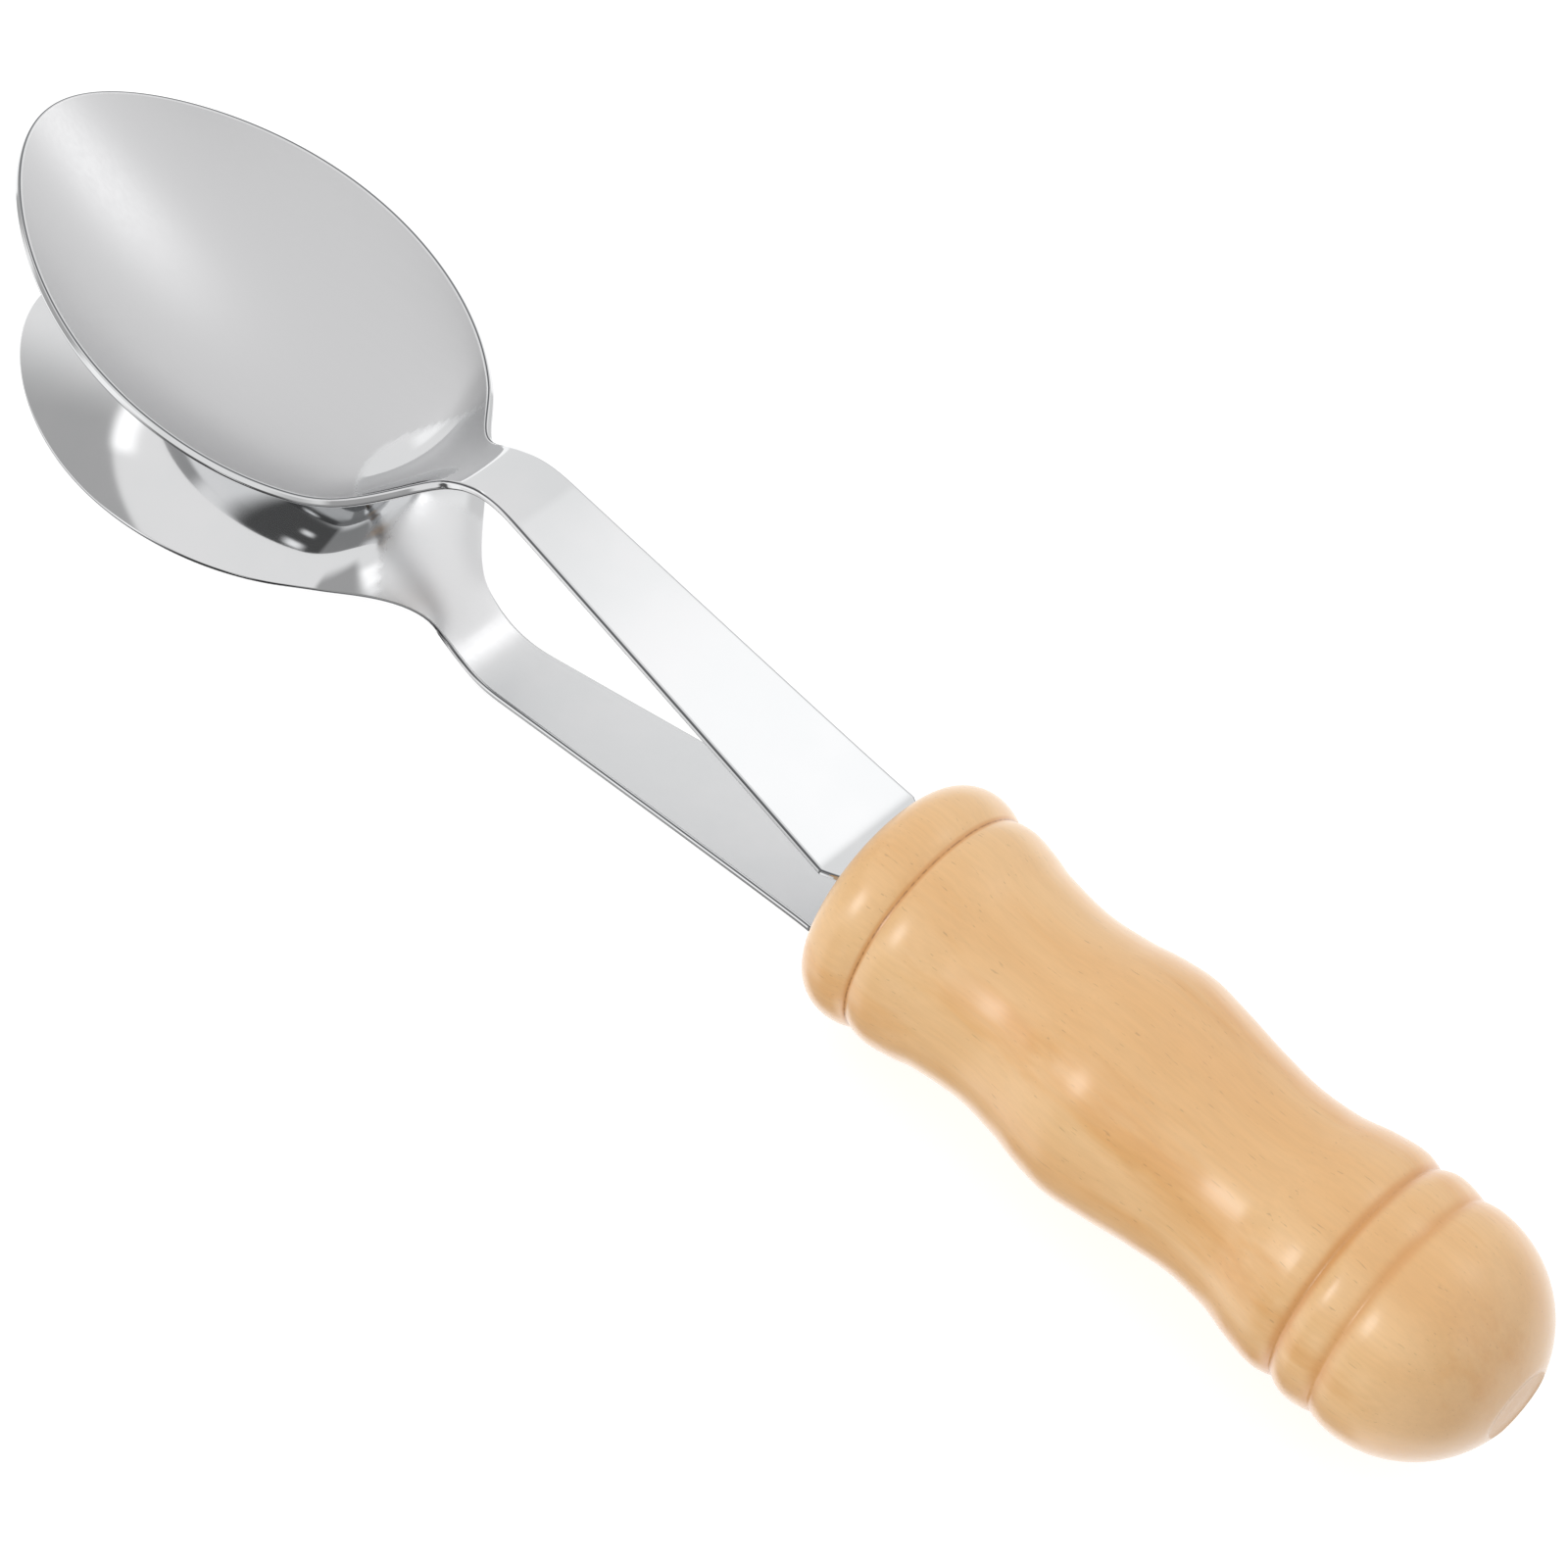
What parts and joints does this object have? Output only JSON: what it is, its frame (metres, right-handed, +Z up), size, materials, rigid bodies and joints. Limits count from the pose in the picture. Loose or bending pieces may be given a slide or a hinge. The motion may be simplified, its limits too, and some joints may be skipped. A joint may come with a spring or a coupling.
{
  "type": "spoon castanets",
  "caption": "Two steel spoons set back to back in a turned wooden handle; the bowls flex together and clack like castanets.",
  "frame": {"origin": "on the surface that the object lies on, under the middle of its box", "axes": "+X along the handle towards the butt, so the spoons point along -X; +Z up, out of the upper bowl's hollow; +Y across the spoons"},
  "size_m": [0.2295, 0.045, 0.0336],
  "materials": {
    "handle_wood": "turned light hardwood under clear lacquer",
    "wedge_wood": "sawn hardwood, unfinished",
    "spoon_steel": "mirror-polished stainless steel"
  },
  "bodies": {
    "grip": {"handle": "handle_wood", "wedge": "wedge_wood", "upper_spoon_tang": "spoon_steel", "lower_spoon_tang": "spoon_steel"},
    "upper_spoon": {"upper_spoon_bowl": "spoon_steel"},
    "lower_spoon": {"lower_spoon_bowl": "spoon_steel"}
  },
  "joints": [
    {"name": "upper_spoon_flex", "type": "hinge", "parent": "grip", "child": "upper_spoon", "pos_m": [-0.004, 0, 0.02701], "axis": [0, -1, 0], "range_deg": [-2.5, 1.45], "stiffness_Nm_per_rad": 6.7},
    {"name": "lower_spoon_flex", "type": "hinge", "parent": "grip", "child": "lower_spoon", "pos_m": [-0.004, 0, 0.00661], "axis": [0, 1, 0], "range_deg": [-2.5, 1.45], "stiffness_Nm_per_rad": 6.7}
  ]
}
